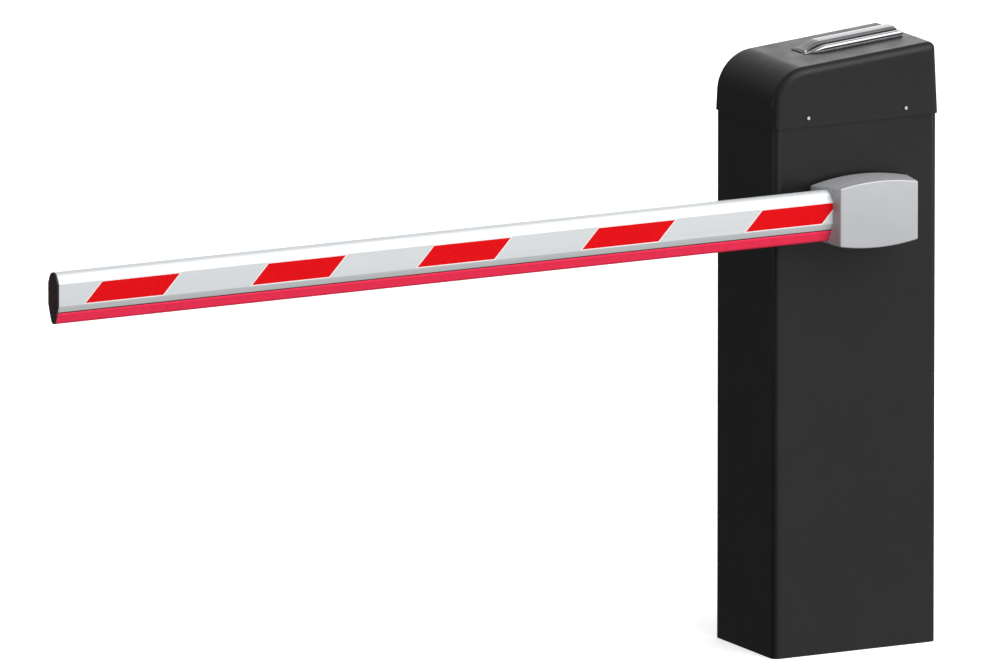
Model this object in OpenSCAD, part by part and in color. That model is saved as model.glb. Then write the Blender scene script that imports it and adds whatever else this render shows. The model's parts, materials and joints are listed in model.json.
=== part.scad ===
// Parking barrier gate: steel cabinet with a worm-geared motor inside, a cast
// boom holder on its front and a straight aluminium boom with a rubber edge.
// Origin: centre of the cabinet at ground level. X runs along the front face,
// the boom lies towards -X, Y runs to the back (service door), Z is up.

/* [Cabinet] */
// Width of the cabinet across its front face
cab_w = 320; // [316:1:330]
// Depth of the cabinet from front to back
cab_d = 213; // [211:1:218]
// Radius of the four upright corners
corner_r = 12; // [8:1:14]
// Thickness of the cabinet, door and hood sheet
sheet_t = 2; // [1.5:0.5:2]
// Height of the hood's lower edge above the ground
hood_z = 931; // [925:1:940]

/* [Boom] */
// Distance from the pivot axis to the free end of the boom
boom_len = 1580; // [1580:10:3000]
// Height of the pivot axis above the ground
shaft_z = 783; // [778:1:786]
// Distance from the cabinet's centre to the boom's centre plane
boom_y = 153.8; // [153:0.2:156]
// Distance between neighbouring reflective stickers
sticker_pitch = 318.8; // [300:0.2:326]

/* [Drive] */
// Number of teeth on the worm wheel
wheel_teeth = 40; // [40:1:40]
// Module of the worm and its wheel
gear_module = 2.4; // [2.3:0.1:2.4]
// Length of the spring lever from the shaft to its pin
lever_len = 90; // [84:1:92]

/* [Door] */
// Width of the service door
door_w = 244; // [236:1:244]
// Height of the door's lower edge above the ground
door_z0 = 95; // [90:1:110]
// Height of the door's upper edge above the ground
door_z1 = 875; // [860:1:880]

/* [Hidden] */
$fn = 64;

black_coat = "#2b2b2d";
zinc = "#b4b8bb";
steel = "#8d9297";
cast_alu = "#b9bdc0";
dark_rubber = "#1c1c1c";

half_w = cab_w / 2;
half_d = cab_d / 2;
in_w = half_w - sheet_t;
in_d = half_d - sheet_t;
shell_top = hood_z + 24;
base_t = 6;

// Anchor slots and cable opening of the base plate
slot_x = 115;
slot_y = 70;
slot_len = 40;
slot_w = 14;
cable_w = 110;
cable_d = 80;

// Hood outline: proud of the cabinet, 2 degrees of draft, top sloping 5 degrees
hood_proud = 3;
draft = 2;
slope = 5;
hood_mid = 1042.4;
hood_side_r = 70;
hood_end_r = 12;
hood_edge_r = 14;
hood_screw_x = 95.5;
hood_screw_z = hood_z + 15;
hood_screw_r = 2;

// Drive train, stacked along Y
plate_y0 = -70;
plate_y1 = -62;
shaft_r = 15;
run_gap = 0.05;
press_gap = 0.02;
m6_hex_r = 5.5;
m8_hex_r = 7.5;
m10_hex_r = 9.5;
box_y1 = -4;
cover_y1 = 12;
lever_y0 = 20;
lever_y1 = 32;
wheel_r = wheel_teeth * gear_module / 2;
wheel_y = -22;
wheel_half = 13;
tip_r = wheel_r + 2;
root_r = wheel_r - 1.5;
worm_r = 11.5;
worm_lift = 2.2;
worm_x = -(wheel_r + 14);
worm_pitch = 3.14159265 * gear_module;
worm_turns = 6;
box_x0 = -84;
box_x1 = 62;
box_half_z = 62;
bearing_r = 27.5;
motor_r = 38;
motor_z0 = 575;
spindle_r = 6;
stop_r = 10;
stop_gap = 0.5;
arm_half = 14;
stop_along = 52;
spring_y = 52;
pin_r = 6;
yoke_drop = 40;
spring_x = lever_len * cos(45);
spring_top = shaft_z + lever_len * sin(45) - yoke_drop;
spring_bot = 340;
spring_r = 18;
anchor_z = 300;
tension_r = 5;

// Equipment on the lower plate
equip_y1 = -67;
box_w0 = -140;
box_w1 = 20;
ctrl_z0 = 340;
ctrl_z1 = 540;
ctrl_y1 = -7;
rail_z = 178;
toggle_x = 60;
button_x = -60;
breaker_y = equip_y1 + 7.5;

// Boom section and holder, measured from the boom's centre line
half_t = 17.5;
wall_t = 2;
rubber_top = -23;
flat_z0 = -12;
flat_z1 = 26.3;
dome_z = 31.5;
dome_r = 13.5;
foot_r = 7.5;
foot_z = -37.5;
channel_gap = 0.5;
holder_front = -189.8;
holder_back = -117.8;
holder_split = -174.1;
holder_rear_wall = -135.5;
holder_arc_r = 389;
holder_half_h = 58.5;
holder_front_w = 76;
holder_back_w = 96;
holder_screw_r = 2.5;
hub_r = 30;
channel_end = 60;
sticker_len = 153.4;
sticker_h = 38;
sticker_lean = 35.8;
sticker_first = -1530.4;
sticker_t = 0.35;
cap_t = 3.5;

// Door hinges and lock
hinge_x = -131;
hinge_y = half_d + 4;
hinge_zs = [190, 760];
hinge_len = 60;
hinge_r = 4;
hinge_pin_r = 2;
leaf_t = 2;
leaf_gap = 0.3;
door_gap = 2;
door_half = door_w / 2;
lock_x = 94;
lock_z = 500;
barrel_r = 8;
lock_y0 = 80;

// ---- Building blocks ----

module block(x0, x1, y0, y1, z0, z1) {
    translate([x0, y0, z0])
        cube([x1 - x0, y1 - y0, z1 - z0]);
}

module rod_y(x, z, y0, y1, r) {
    translate([x, y0, z])
        rotate([-90, 0, 0])
            cylinder(r = r, h = y1 - y0);
}

module rod_z(x, y, z0, z1, r) {
    translate([x, y, z0])
        cylinder(r = r, h = z1 - z0);
}

module rod_x(x0, x1, y, z, r) {
    translate([x0, y, z])
        rotate([0, 90, 0])
            cylinder(r = r, h = x1 - x0);
}

// Bolt head or nut, its axis along Y
module hexagon_y(x, z, y0, y1, r) {
    translate([x, y0, z])
        rotate([-90, 0, 0])
            cylinder(r = r, h = y1 - y0, $fn = 6);
}

module rounded_rect(w, d, r) {
    square([w - 2 * r, d], center = true);
    square([w, d - 2 * r], center = true);
    for (x = [-1, 1], y = [-1, 1])
        translate([x * (w / 2 - r), y * (d / 2 - r)])
            circle(r);
}

// Stands a plan drawn in X and Z upright, from y0 to y1
module upright(y0, y1) {
    translate([0, y1, 0])
        rotate([90, 0, 0])
            linear_extrude(y1 - y0)
                children();
}

module slot_2d(len, w) {
    square([len - w, w], center = true);
    for (s = [-1, 1])
        translate([s * (len - w) / 2, 0])
            circle(w / 2);
}

// ---- Cabinet ----

module cabinet_shell() {
    color(black_coat)
        difference() {
            linear_extrude(shell_top)
                difference() {
                    rounded_rect(cab_w, cab_d, corner_r);
                    rounded_rect(2 * in_w, 2 * in_d, corner_r - sheet_t);
                }
            rod_y(0, shaft_z, -half_d - 1, -in_d + 1, 20);
            block(-door_half - door_gap, door_half + door_gap, in_d - 1, half_d + 1,
                door_z0 - door_gap, door_z1 + door_gap);
            for (x = [-1, 1])
                rod_y(x * hood_screw_x, hood_screw_z, -half_d - 5, half_d + 5, hood_screw_r + 0.2);
        }
}

module base_plate() {
    color(zinc)
        difference() {
            linear_extrude(base_t)
                difference() {
                    rounded_rect(2 * in_w - 0.4, 2 * in_d - 0.4, corner_r - sheet_t);
                    square([cable_w, cable_d], center = true);
                }
            for (x = [-1, 1], y = [-1, 1])
                translate([x * slot_x, y * slot_y, -1])
                    linear_extrude(base_t + 2)
                        slot_2d(slot_len, slot_w);
        }
}

chassis_z0 = 60;
chassis_z1 = 925;
chassis_half_w = 152;
rail_lip_x = 128;
rail_t = 3;
rail_hole_x = 140;
rail_hole_r = 4.2;
rail_holes = [680, 780, 880];
equip_holes = [150, 350, 540];
drive_z0 = 655;
drive_z1 = 905;
equip_z0 = 130;
equip_z1 = 560;

module mounting_rails() {
    color(zinc)
        for (s = [-1, 1])
            difference() {
                union() {
                    block(min(s * (in_w - rail_t), s * in_w), max(s * (in_w - rail_t), s * in_w),
                        -in_d + corner_r, plate_y0, chassis_z0, chassis_z1);
                    block(min(s * rail_lip_x, s * in_w), max(s * rail_lip_x, s * in_w),
                        plate_y0 - rail_t, plate_y0, chassis_z0, chassis_z1);
                }
                for (z = concat(rail_holes, equip_holes))
                    rod_y(s * rail_hole_x, z, plate_y0 - 5, plate_y0 + 1, rail_hole_r);
            }
}

module drive_plate() {
    color(zinc)
        difference() {
            block(-chassis_half_w, chassis_half_w, plate_y0, plate_y1, drive_z0, drive_z1);
            rod_y(0, shaft_z, plate_y0 - 1, plate_y1 + 1, 24);
            for (s = [-1, 1], z = rail_holes)
                rod_y(s * rail_hole_x, z, plate_y0 - 1, plate_y1 + 1, rail_hole_r);
        }
}

module drive_plate_bolts() {
    color(steel)
        for (s = [-1, 1], z = rail_holes) {
            rod_y(s * rail_hole_x, z, plate_y0 - 10, plate_y1, 4);
            hexagon_y(s * rail_hole_x, z, plate_y1, plate_y1 + 5.3, m8_hex_r);
            hexagon_y(s * rail_hole_x, z, plate_y0 - 10, plate_y0 - 3.5, m8_hex_r);
        }
}

// Rectangular ring lying around the door, a given distance out from its edge
module door_ring(out, thick, y0, y1) {
    difference() {
        block(-door_half - out, door_half + out, y0, y1, door_z0 - out, door_z1 + out);
        block(-door_half - out + thick, door_half + out - thick, y0 - 1, y1 + 1,
            door_z0 - out + thick, door_z1 + out - thick);
    }
}

module door_frame() {
    color(black_coat) {
        door_ring(8, 22, 86, 88);
        door_ring(8, 2, 88, in_d);
    }
}

module door_seal() {
    color(dark_rubber)
        door_ring(-2, 9, 88, 91.6);
}

// One hinge: knuckles in thirds, the outer two fixed and the middle on the door
module hinge_knuckle(z0, z1) {
    rod_z(hinge_x, hinge_y, z0, z1, hinge_r);
}

module hinge_fixed_leaves() {
    third = hinge_len / 3;
    back = half_d + leaf_t;
    color(steel)
        for (z = hinge_zs)
            difference() {
                union() {
                    hinge_knuckle(z, z + third - leaf_gap);
                    hinge_knuckle(z + 2 * third + leaf_gap, z + hinge_len);
                    for (k = [z, z + 2 * third + leaf_gap])
                        block(hinge_x - 5, hinge_x, half_d, back, k, k + third - leaf_gap);
                    block(hinge_x - 22, hinge_x - 4.6, half_d, back, z, z + hinge_len);
                }
                rod_z(hinge_x, hinge_y, z - 1, z + hinge_len + 1, hinge_pin_r);
            }
}

module hinge_door_leaves() {
    third = hinge_len / 3;
    back = half_d + leaf_t;
    color(steel)
        for (z = hinge_zs)
            difference() {
                union() {
                    hinge_knuckle(z + third, z + 2 * third);
                    block(hinge_x, hinge_x + 11, half_d + leaf_gap, back, z + third, z + 2 * third);
                    block(hinge_x + 9.5, hinge_x + 30, half_d, back, z, z + hinge_len);
                }
                rod_z(hinge_x, hinge_y, z - 1, z + hinge_len + 1, hinge_pin_r + run_gap);
            }
}

module hinge_pins() {
    color(steel)
        for (z = hinge_zs) {
            rod_z(hinge_x, hinge_y, z - 1, z + hinge_len, hinge_pin_r);
            rod_z(hinge_x, hinge_y, z + hinge_len, z + hinge_len + 2, 3.5);
        }
}

module service_door() {
    color(black_coat)
        difference() {
            union() {
                block(-door_half, door_half, half_d - sheet_t, half_d, door_z0, door_z1);
                door_ring(0, sheet_t, 92, half_d);
            }
            rod_y(lock_x, lock_z, lock_y0, half_d + 1, 11.1);
        }
}

module lock_housing() {
    color(steel)
        difference() {
            union() {
                rod_y(lock_x, lock_z, 90, half_d, 11);
                rod_y(lock_x, lock_z, half_d, half_d + 2.5, 15);
            }
            rod_y(lock_x, lock_z, lock_y0, half_d + 5, barrel_r + run_gap);
        }
}

module lock_barrel() {
    color(steel)
        difference() {
            union() {
                rod_y(lock_x, lock_z, lock_y0, half_d + 3.5, barrel_r);
                // Tongue that turns behind the door frame
                block(lock_x - 7, lock_x + 7, lock_y0, lock_y0 + 4, lock_z - 34, lock_z);
            }
            block(lock_x - 0.8, lock_x + 0.8, half_d - 3, half_d + 5, lock_z - 4.5, lock_z + 4.5);
        }
}

module front_seal_ring() {
    color(dark_rubber)
        difference() {
            union() {
                rod_y(0, shaft_z, -half_d - 2, -half_d, 27);
                rod_y(0, shaft_z, -half_d, -in_d + 3, 19.8);
            }
            rod_y(0, shaft_z, -half_d - 3, -in_d + 4, shaft_r + 0.3);
        }
}

// ---- Hood ----

hood_w = half_w + hood_proud;
hood_d = half_d + hood_proud;
arc_x = -hood_w + hood_side_r + 1.2;
arc_z = hood_mid + arc_x * tan(slope) - hood_side_r / cos(slope);
end_x = hood_w - hood_end_r - 3.9;
end_z = hood_mid + end_x * tan(slope) - hood_end_r / cos(slope);

// Outline of the hood seen from the front: a leaning wall at each side, joined
// to the sloping top by a large arc at the boom's side and a small one opposite
module hood_front_2d() {
    // The straight edges end just inside the arcs, so that they cross
    side_r = hood_side_r - 0.2;
    end_r = hood_end_r - 0.1;
    below = 5;
    foot_w = hood_w + below * tan(draft);
    polygon([
        [-foot_w, hood_z - below],
        [foot_w, hood_z - below],
        [end_x + end_r * cos(draft), end_z + end_r * sin(draft)],
        [end_x, end_z],
        [end_x - end_r * sin(slope), end_z + end_r * cos(slope)],
        [arc_x - side_r * sin(slope), arc_z + side_r * cos(slope)],
        [arc_x, arc_z],
        [arc_x - side_r * cos(draft), arc_z + side_r * sin(draft)]
    ]);
    translate([arc_x, arc_z])
        circle(hood_side_r, $fn = 128);
    translate([end_x, end_z])
        circle(hood_end_r);
}

// Outline of the hood seen from its end, its top at height 0
module hood_end_2d() {
    high = hood_d - 3.4;
    r = hood_edge_r;
    in = r - 0.1;
    polygon([
        [-hood_d - 3, -200], [hood_d + 3, -200], [high - r + in, -r], [high - r, -r],
        [high - r, in - r], [-high + r, in - r], [-high + r, -r], [-high + r - in, -r]
    ]);
    for (s = [-1, 1])
        translate([s * (high - r), -r])
            circle(r);
}

module hood_solid() {
    intersection() {
        upright(-150, 150)
            hood_front_2d();
        translate([0, 0, hood_mid])
            rotate([0, -slope, 0])
                rotate([90, 0, 90])
                    translate([0, 0, -200])
                        linear_extrude(400)
                            hood_end_2d();
        translate([0, 0, hood_z])
            linear_extrude(200)
                rounded_rect(2 * hood_w, 2 * hood_d, corner_r + hood_proud);
    }
}

// Cavity of the hood: a step that fits over the cabinet's rim, and above it two
// narrower steps that follow the arc and the sloping top
module hood_cavity() {
    inner_r = hood_side_r - 2.5;
    low_z = hood_z - 31;
    // Half depth and upper end of each narrower step
    steps = [[102, hood_mid - 35], [95, hood_mid + 60]];
    translate([0, 0, hood_z - 5])
        linear_extrude(shell_top - hood_z + 7)
            rounded_rect(2 * (hood_w - sheet_t), 2 * (hood_d - sheet_t), corner_r + 1);
    for (step = steps)
        upright(-step[0], step[0])
            intersection() {
                polygon(concat(
                    [[arc_x - inner_r, shell_top - 2]],
                    [for (a = [180:-17:95]) [arc_x + inner_r * cos(a), arc_z + inner_r * sin(a)]],
                    [[end_x, end_z + hood_end_r - 2.6], [end_x + 3, end_z + hood_end_r - 3.5],
                        [end_x + hood_end_r - 3, end_z], [end_x + hood_end_r - 3, shell_top - 2]]));
                translate([-hood_w, low_z])
                    square([2 * hood_w, step[1] - low_z]);
            }
}

module hood() {
    color(black_coat)
        difference() {
            hood_solid();
            hood_cavity();
            for (x = [-1, 1])
                rod_y(x * hood_screw_x, hood_screw_z, -half_d - 9, half_d + 9, hood_screw_r + 0.2);
        }
}

module hood_screws() {
    color(steel)
        for (x = [-1, 1], s = [0, 180])
            rotate([0, 0, s]) {
                rod_y(x * hood_screw_x, hood_screw_z, -half_d - 3, -in_d + 4, hood_screw_r);
                rod_y(x * hood_screw_x, hood_screw_z, -half_d - 4.8, -half_d - 2.75, 3);
            }
}

handle_x = 42;
handle_y = 5;
handle_half = 95;
handle_h = 13.5;

// Section of the handle: a broad rear band and a narrow front rail on one foot
module handle_section_2d() {
    difference() {
        translate([-31, 0])
            square([62, handle_h]);
        // Shoulder below the front rail, groove between rail and band
        translate([-32, 3])
            square([5, handle_h]);
        translate([-10, 4])
            square([6, handle_h]);
        translate([29, 9])
            rotate(-35)
                square([10, 20]);
        translate([-4, handle_h])
            rotate(-72)
                square([4, 6], center = true);
        for (x = [-27, -10])
            translate([x, handle_h])
                rotate(45)
                    square([4, 4], center = true);
    }
}

module hood_handle() {
    color("#d7dadc")
        translate([handle_x, handle_y, hood_mid + handle_x * tan(slope)])
            rotate([0, -slope, 0])
                intersection() {
                    rotate([90, 0, 90])
                        translate([0, 0, -handle_half])
                            linear_extrude(2 * handle_half)
                                handle_section_2d();
                    upright(-40, 40) {
                        polygon([
                            [-handle_half, 0], [handle_half, 0], [handle_half, handle_h - 4],
                            [handle_half - 4, handle_h - 4], [handle_half - 4, handle_h],
                            [-handle_half + 38, handle_h], [-handle_half, 2]
                        ]);
                        translate([handle_half - 4.1, handle_h - 4.1])
                            circle(4.1);
                    }
                }
}

// ---- Gearbox and motor ----

cover_bolt_spots = [[-76, 54], [-76, -54], [54, 54], [54, -54], [-8, -57.5], [-8, 57.5]];

module gearbox_housing() {
    color(cast_alu)
        difference() {
            upright(plate_y1, box_y1)
                translate([(box_x0 + box_x1) / 2, shaft_z])
                    rounded_rect(box_x1 - box_x0, 2 * box_half_z, 8);
            rod_y(0, shaft_z, -40, box_y1 + 1, 53);
            rod_y(0, shaft_z, -58, -39, bearing_r);
            rod_y(0, shaft_z, plate_y1 - 1, -57, 19);
            rod_z(worm_x, wheel_y, shaft_z - 25, shaft_z + 25, 17);
            for (z = [-35, 24.9])
                rod_z(worm_x, wheel_y, shaft_z + z, shaft_z + z + 10.1, 16);
            rod_z(worm_x, wheel_y, shaft_z - box_half_z - 1, shaft_z + box_half_z + 1, 9);
            for (p = cover_bolt_spots)
                rod_y(p[0], shaft_z + p[1], -30, box_y1 + 1, 3);
        }
}

module gearbox_cover() {
    color(cast_alu)
        difference() {
            upright(box_y1, cover_y1)
                translate([(box_x0 + box_x1) / 2, shaft_z])
                    rounded_rect(box_x1 - box_x0, 2 * box_half_z, 8);
            rod_y(0, shaft_z, box_y1 - 1, cover_y1 + 1, 19);
            rod_y(0, shaft_z, box_y1 - 1, cover_y1 - 3, bearing_r);
            for (p = cover_bolt_spots)
                rod_y(p[0], shaft_z + p[1], box_y1 - 1, cover_y1 + 1, 3.2);
            for (p = stop_spots)
                rod_y(p[0], shaft_z + p[1], 2, cover_y1 + 1, 4);
        }
}

module gearbox_bolts() {
    color(steel)
        for (p = cover_bolt_spots) {
            rod_y(p[0], shaft_z + p[1], -28, cover_y1, 3);
            hexagon_y(p[0], shaft_z + p[1], cover_y1, cover_y1 + 4, m6_hex_r);
        }
}

module ring_y(y0, y1, r_out, r_in) {
    difference() {
        rod_y(0, shaft_z, y0, y1, r_out);
        rod_y(0, shaft_z, y0 - 1, y1 + 1, r_in);
    }
}

module shaft_bearings() {
    color(steel) {
        ring_y(-58, -45, bearing_r, shaft_r + run_gap);
        ring_y(-3.8, cover_y1 - 3, bearing_r, shaft_r + run_gap);
    }
}

module worm_bearings() {
    color(steel)
        for (z = [-35, 25])
            difference() {
                rod_z(worm_x, wheel_y, shaft_z + z, shaft_z + z + 10, 16);
                rod_z(worm_x, wheel_y, shaft_z + z - 1, shaft_z + z + 11, spindle_r + run_gap);
            }
}

motor_top = shaft_z - box_half_z;

module motor_housing() {
    color("#3b4047")
        difference() {
            union() {
                rod_z(worm_x, wheel_y, motor_z0, motor_top, motor_r - 3);
                rod_z(worm_x, wheel_y, motor_top - 10, motor_top, motor_r);
                for (k = [0:23])
                    translate([worm_x, wheel_y, motor_z0 + 4])
                        rotate([0, 0, k * 15])
                            translate([motor_r - 4, -1, 0])
                                cube([3, 2, motor_top - motor_z0 - 9]);
            }
            rod_z(worm_x, wheel_y, motor_z0 - 1, motor_top - 10, motor_r - 6);
            rod_z(worm_x, wheel_y, motor_top - 11, motor_top + 1, 9);
        }
}

module motor_end_shield() {
    color(cast_alu)
        difference() {
            union() {
                rod_z(worm_x, wheel_y, motor_z0 - 12, motor_z0, motor_r);
                rod_z(worm_x, wheel_y, motor_z0, motor_z0 + 6, motor_r - 6.1);
            }
            rod_z(worm_x, wheel_y, motor_z0 - 6, motor_z0 + 7, 16);
            rod_z(worm_x, wheel_y, motor_z0 - 9, motor_z0 + 7, spindle_r + run_gap);
        }
}

module stator() {
    color("#a8522c")
        difference() {
            rod_z(worm_x, wheel_y, motor_z0 + 20, motor_top - 24, motor_r - 6.1);
            rod_z(worm_x, wheel_y, motor_z0 + 19, motor_top - 23, 20.5);
        }
}

module rotor() {
    color(steel)
        difference() {
            rod_z(worm_x, wheel_y, motor_z0 + 22, motor_top - 26, 20);
            rod_z(worm_x, wheel_y, motor_z0 + 21, motor_top - 25, spindle_r + press_gap);
        }
}

module motor_shaft() {
    color(zinc)
        rod_z(worm_x, wheel_y, motor_z0 - 8, shaft_z - 40, spindle_r);
}

worm_z0 = shaft_z - worm_turns * worm_pitch / 2;

module worm() {
    color(steel) {
        translate([worm_x, wheel_y, worm_z0])
            linear_extrude(worm_turns * worm_pitch, twist = 360 * worm_turns,
                slices = 10 * worm_turns, $fn = 16)
                translate([worm_lift, 0])
                    circle(worm_r, $fn = 16);
        rod_z(worm_x, wheel_y, shaft_z - 40, worm_z0 + 1, spindle_r);
        rod_z(worm_x, wheel_y, worm_z0 + worm_turns * worm_pitch - 1, 868, spindle_r);
    }
}

hand_z = 856;

module hand_wheel() {
    color(dark_rubber)
        difference() {
            union() {
                translate([worm_x, wheel_y, hand_z])
                    rotate_extrude()
                        translate([26, 0])
                            circle(5, $fn = 24);
                rod_z(worm_x, wheel_y, hand_z - 6, hand_z + 8, 11);
                for (k = [0:3])
                    translate([worm_x, wheel_y, hand_z])
                        rotate([0, 0, 45 + 90 * k])
                            translate([8, -3, -2.5])
                                cube([16, 6, 5]);
            }
            rod_z(worm_x, wheel_y, hand_z - 7, hand_z + 13, spindle_r + press_gap);
        }
}

module worm_wheel() {
    color("#b98d3c")
        upright(wheel_y - wheel_half, wheel_y + wheel_half)
            translate([0, shaft_z])
                difference() {
                    union() {
                        circle(root_r, $fn = 96);
                        for (i = [0:wheel_teeth - 1])
                            rotate((i + 0.5) * 360 / wheel_teeth)
                                polygon([[root_r - 1, -2], [tip_r, -0.8], [tip_r, 0.8], [root_r - 1, 2]]);
                    }
                    circle(shaft_r + press_gap);
                }
}

module main_shaft() {
    color(zinc)
        rod_y(0, shaft_z, holder_rear_wall + 4, 42, shaft_r);
}

module spring_lever() {
    color("#4b5560")
        upright(lever_y0, lever_y1)
            translate([0, shaft_z])
                difference() {
                    union() {
                        circle(28);
                        rotate(45)
                            translate([0, -arm_half])
                                square([lever_len, 2 * arm_half]);
                        rotate(45)
                            translate([lever_len, 0])
                                circle(arm_half);
                    }
                    circle(shaft_r + press_gap);
                    rotate(45)
                        translate([lever_len, 0])
                            circle(pin_r + press_gap);
                }
}

module lever_pin() {
    color(steel) {
        rod_y(spring_x, spring_top + yoke_drop, 17, 64, pin_r);
        rod_y(spring_x, spring_top + yoke_drop, 61, 64, 10);
        rod_y(spring_x, spring_top + yoke_drop, 17, 19.8, 9);
    }
}

module magnet_disc() {
    color(dark_rubber)
        ring_y(33, 39, 30, shaft_r + press_gap);
}

// Rubber stops stand beside the lever's arm at its two limits
stop_side = arm_half + stop_r + stop_gap;
stop_spots = [for (s = [1, -1])
    [(stop_along - stop_side) * cos(45), s * (stop_along + stop_side) * cos(45)]];

module stop_buffers() {
    color(dark_rubber)
        for (p = stop_spots) {
            rod_y(p[0], shaft_z + p[1], cover_y1, 34, stop_r);
            rod_y(p[0], shaft_z + p[1], 3, cover_y1, 4);
        }
}

module position_sensor() {
    top = shaft_z + box_half_z;
    color("#2f6b45") {
        block(-34, -12, -40, 50, top, top + 2.5);
        block(-34, -12, 47.5, 50, 790, top);
        block(-32, -14, 43, 47.5, 792, 822);
    }
}

// ---- Balance spring ----

module spring_yoke() {
    z = spring_top + yoke_drop;
    color(steel)
        difference() {
            union() {
                rod_y(spring_x, z, 44, 60, 12);
                rod_z(spring_x, spring_y, z - yoke_drop, z - 8, 5);
            }
            rod_y(spring_x, z, 43, 61, pin_r + run_gap);
        }
}

module balance_spring() {
    color("#3c4046")
        difference() {
            rod_z(spring_x, spring_y, spring_bot, spring_top - 0.3, spring_r);
            rod_z(spring_x, spring_y, spring_bot - 1, spring_top - 8, spring_r - 5);
        }
}

module spring_anchor_bracket() {
    color(zinc)
        difference() {
            union() {
                block(36, in_w, 30, 74, anchor_z, anchor_z + 6);
                block(in_w - 5, in_w, 30, 74, anchor_z - 80, anchor_z);
                for (y = [30, 70])
                    translate([0, y + 4, 0])
                        rotate([90, 0, 0])
                            linear_extrude(4)
                                polygon([[in_w - 5, anchor_z - 70], [in_w - 5, anchor_z],
                                    [in_w - 75, anchor_z]]);
            }
            rod_z(spring_x, spring_y, anchor_z - 1, anchor_z + 7, tension_r + 0.3);
        }
}

module tension_bolt() {
    color(steel) {
        rod_z(spring_x, spring_y, anchor_z - 60, spring_bot + 20, tension_r);
        rod_z(spring_x, spring_y, spring_bot - 6, spring_bot, spring_r - 2);
    }
}

module tension_nuts() {
    color(zinc)
        for (z = [anchor_z - 8, anchor_z + 6])
            difference() {
                translate([spring_x, spring_y, z])
                    cylinder(r = m10_hex_r, h = 8, $fn = 6);
                rod_z(spring_x, spring_y, z - 1, z + 9, tension_r + press_gap);
            }
}

// ---- Electrical equipment ----

module equipment_plate() {
    color(zinc)
        difference() {
            block(-chassis_half_w, chassis_half_w, plate_y0, equip_y1, equip_z0, equip_z1);
            for (s = [-1, 1], z = equip_holes)
                rod_y(s * rail_hole_x, z, plate_y0 - 1, equip_y1 + 1, rail_hole_r);
        }
}

module control_box() {
    color("#5d6368")
        difference() {
            block(box_w0 + 14, box_w1, equip_y1, ctrl_y1 - 3, ctrl_z0, ctrl_z1);
            block(box_w0 + 17, box_w1 - 3, equip_y1 + 3, ctrl_y1 + 1, ctrl_z0 + 3, ctrl_z1 - 3);
        }
}

button_zs = [ctrl_z0 + 110, ctrl_z0 + 80, ctrl_z0 + 50];

module control_lid() {
    color("#8b9196")
        difference() {
            block(box_w0 + 14, box_w1, ctrl_y1 - 3, ctrl_y1, ctrl_z0, ctrl_z1);
            for (z = button_zs)
                rod_y(button_x, z, ctrl_y1 - 4, ctrl_y1 + 1, 6.4);
            block(-96, -24, ctrl_y1 - 1, ctrl_y1 + 1, ctrl_z0 + 135, ctrl_z0 + 175);
        }
}

module push_button(z, tint) {
    color(tint) {
        rod_y(button_x, z, ctrl_y1 - 3, ctrl_y1 + 3, 6);
        rod_y(button_x, z, ctrl_y1 - 6, ctrl_y1 - 3.3, 8);
        rod_y(button_x, z, ctrl_y1 - 3.5, ctrl_y1 - 2.5, 6);
    }
}

module open_button() {
    push_button(button_zs[0], "#2f8f4e");
}

module stop_button() {
    push_button(button_zs[1], "#c43a2f");
}

module close_button() {
    push_button(button_zs[2], "#d7a52c");
}

module power_supply() {
    color("#a4a9ad")
        difference() {
            block(-126, -10, equip_y1, -27, 222, 318);
            for (i = [0:8])
                block(-110 + 10 * i, -106 + 10 * i, -30, -26, 240, 300);
        }
}

module din_rail() {
    x0 = -130;
    x1 = 110;
    lip_y = breaker_y - 1;
    color(zinc) {
        block(x0, x1, equip_y1, equip_y1 + 1, rail_z - 13, rail_z + 13);
        block(x0, x1, equip_y1 + 1, lip_y, rail_z - 13, rail_z - 12);
        block(x0, x1, equip_y1 + 1, lip_y, rail_z + 12, rail_z + 13);
        for (s = [-1, 1])
            block(x0, x1, lip_y, breaker_y, rail_z + min(s * 12, s * 17.5),
                rail_z + max(s * 12, s * 17.5));
    }
}

module circuit_breaker() {
    color("#e4e4e0")
        difference() {
            union() {
                block(toggle_x - 18, toggle_x + 18, breaker_y, breaker_y + 38, rail_z - 40, rail_z + 40);
                block(toggle_x - 18, toggle_x + 18, breaker_y + 38, breaker_y + 56,
                    rail_z - 22, rail_z + 22);
            }
            block(toggle_x - 7, toggle_x + 7, breaker_y + 38, breaker_y + 60, rail_z - 14, rail_z + 14);
            rod_x(toggle_x - 14, toggle_x + 14, breaker_y + 48, rail_z, 2 + run_gap);
        }
}

module breaker_toggle() {
    color(dark_rubber) {
        rod_x(toggle_x - 6.5, toggle_x + 6.5, breaker_y + 48, rail_z, 7);
        rod_x(toggle_x - 13.5, toggle_x + 13.5, breaker_y + 48, rail_z, 2);
        translate([toggle_x - 6, breaker_y + 48, rail_z])
            rotate([35, 0, 0])
                translate([0, 0, -2.5])
                    cube([12, 18, 5]);
    }
}

module terminal_blocks() {
    pitch = 8;
    width = 7.6;
    high = 30;
    color("#7f868c")
        for (i = [0:9]) {
            x = -120 + pitch * i;
            difference() {
                block(x, x + width, breaker_y, breaker_y + high, rail_z - 22, rail_z + 22);
                for (s = [-1, 1])
                    rod_y(x + width / 2, rail_z + s * 14, breaker_y + high - 8, breaker_y + high + 1, 2.2);
            }
        }
}

// Cables follow a smooth curve through their points
function spline(p, t) =
    let (n = len(p) - 1, i = min(floor(t), n - 1), u = t - i,
        a = p[max(i - 1, 0)], b = p[i], c = p[i + 1], d = p[min(i + 2, n)])
    0.5 * (2 * b + (c - a) * u + (2 * a - 5 * b + 4 * c - d) * u * u
        + (3 * b - a - 3 * c + d) * u * u * u);

function unit(v) = v / norm(v);

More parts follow.
